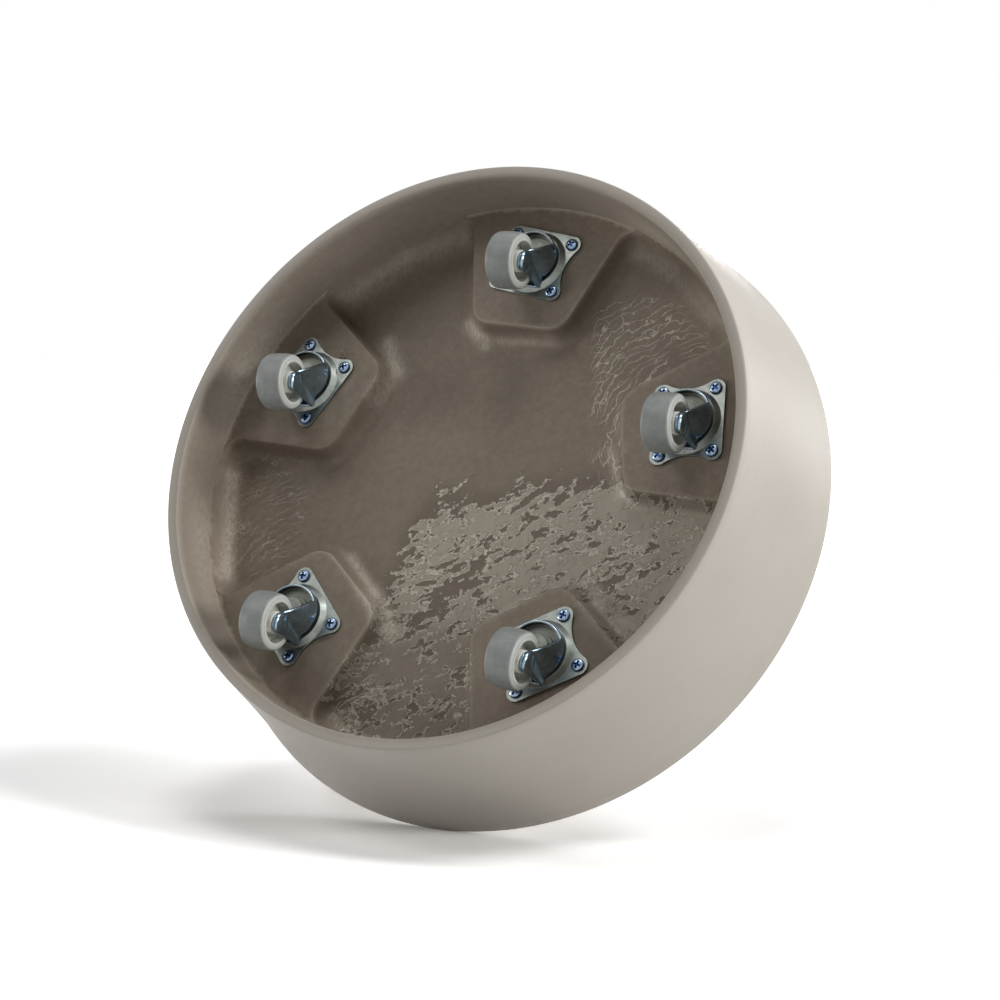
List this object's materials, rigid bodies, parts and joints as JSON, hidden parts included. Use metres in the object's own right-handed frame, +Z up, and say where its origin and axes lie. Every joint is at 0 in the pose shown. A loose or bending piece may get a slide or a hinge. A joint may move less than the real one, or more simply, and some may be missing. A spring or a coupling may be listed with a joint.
{
  "type": "rolling planter",
  "caption": "Round moulded planter saucer with a shallow dish on top, carried by small swivel casters screwed to raised pads under its floor.",
  "frame": {"origin": "on the ground under the wheels, on the saucer's own axis", "axes": "+Z up along the saucer's axis towards its dish; +X towards caster 1, the others following counterclockwise seen from above"},
  "size_m": [0.3489, 0.349, 0.1005],
  "materials": {
    "saucer_plastic": "warm grey moulded plastic, satin outside, mottled underneath",
    "zinc_plate": "bright zinc on pressed sheet",
    "zinc_yoke": "bright zinc on drawn sheet",
    "bearing_steel": "polished balls",
    "pin_steel": "bright zinc, headed cold",
    "wheel_plastic": "pale grey moulded",
    "tyre_rubber": "grey non-marking rubber, satin",
    "blue_zinc": "blue passivated zinc"
  },
  "bodies": {
    "saucer": {"saucer": "saucer_plastic", "plate_1": "zinc_plate", "kingpin_1": "pin_steel", "race_cup_1": "zinc_plate", "screws_1": "blue_zinc", "plate_2": "zinc_plate", "kingpin_2": "pin_steel", "race_cup_2": "zinc_plate", "screws_2": "blue_zinc", "plate_3": "zinc_plate", "kingpin_3": "pin_steel", "race_cup_3": "zinc_plate", "screws_3": "blue_zinc", "plate_4": "zinc_plate", "kingpin_4": "pin_steel", "race_cup_4": "zinc_plate", "screws_4": "blue_zinc", "plate_5": "zinc_plate", "kingpin_5": "pin_steel", "race_cup_5": "zinc_plate", "screws_5": "blue_zinc"},
    "swivel_1": {"yoke_1": "zinc_yoke", "axle_1": "pin_steel", "upper_balls_1": "bearing_steel", "lower_balls_1": "bearing_steel"},
    "wheel_1": {"wheel_core_1": "wheel_plastic", "tyre_1": "tyre_rubber"},
    "swivel_2": {"yoke_2": "zinc_yoke", "axle_2": "pin_steel", "upper_balls_2": "bearing_steel", "lower_balls_2": "bearing_steel"},
    "wheel_2": {"wheel_core_2": "wheel_plastic", "tyre_2": "tyre_rubber"},
    "swivel_3": {"yoke_3": "zinc_yoke", "axle_3": "pin_steel", "upper_balls_3": "bearing_steel", "lower_balls_3": "bearing_steel"},
    "wheel_3": {"wheel_core_3": "wheel_plastic", "tyre_3": "tyre_rubber"},
    "swivel_4": {"yoke_4": "zinc_yoke", "axle_4": "pin_steel", "upper_balls_4": "bearing_steel", "lower_balls_4": "bearing_steel"},
    "wheel_4": {"wheel_core_4": "wheel_plastic", "tyre_4": "tyre_rubber"},
    "swivel_5": {"yoke_5": "zinc_yoke", "axle_5": "pin_steel", "upper_balls_5": "bearing_steel", "lower_balls_5": "bearing_steel"},
    "wheel_5": {"wheel_core_5": "wheel_plastic", "tyre_5": "tyre_rubber"}
  },
  "joints": [
    {"name": "swivel_turn_1", "type": "hinge", "parent": "saucer", "child": "swivel_1", "pos_m": [0.11896, -0.00312, 0.041], "axis": [0, 0, 1], "continuous": true},
    {"name": "wheel_spin_1", "type": "hinge", "parent": "swivel_1", "child": "wheel_1", "pos_m": [0.11615, 0.00814, 0.015], "axis": [0.9703, 0.2419, 0], "continuous": true},
    {"name": "swivel_turn_2", "type": "hinge", "parent": "saucer", "child": "swivel_2", "pos_m": [0.03916, 0.10759, 0.041], "axis": [0, 0, 1], "continuous": true},
    {"name": "wheel_spin_2", "type": "hinge", "parent": "swivel_2", "child": "wheel_2", "pos_m": [0.035, 0.11842, 0.015], "axis": [0.9336, 0.3584, 0], "continuous": true},
    {"name": "swivel_turn_3", "type": "hinge", "parent": "saucer", "child": "swivel_3", "pos_m": [-0.097, 0.06543, 0.041], "axis": [0, 0, 1], "continuous": true},
    {"name": "wheel_spin_3", "type": "hinge", "parent": "swivel_3", "child": "wheel_3", "pos_m": [-0.10077, 0.07639, 0.015], "axis": [0.9455, 0.3256, 0], "continuous": true},
    {"name": "swivel_turn_4", "type": "hinge", "parent": "saucer", "child": "swivel_4", "pos_m": [-0.09566, -0.07078, 0.041], "axis": [0, 0, 1], "continuous": true},
    {"name": "wheel_spin_4", "type": "hinge", "parent": "swivel_4", "child": "wheel_4", "pos_m": [-0.09827, -0.05948, 0.015], "axis": [0.9744, 0.225, 0], "continuous": true},
    {"name": "swivel_turn_5", "type": "hinge", "parent": "saucer", "child": "swivel_5", "pos_m": [0.03693, -0.11365, 0.041], "axis": [0, 0, 1], "continuous": true},
    {"name": "wheel_spin_5", "type": "hinge", "parent": "swivel_5", "child": "wheel_5", "pos_m": [0.03354, -0.10256, 0.015], "axis": [0.9563, 0.2924, 0], "continuous": true}
  ]
}
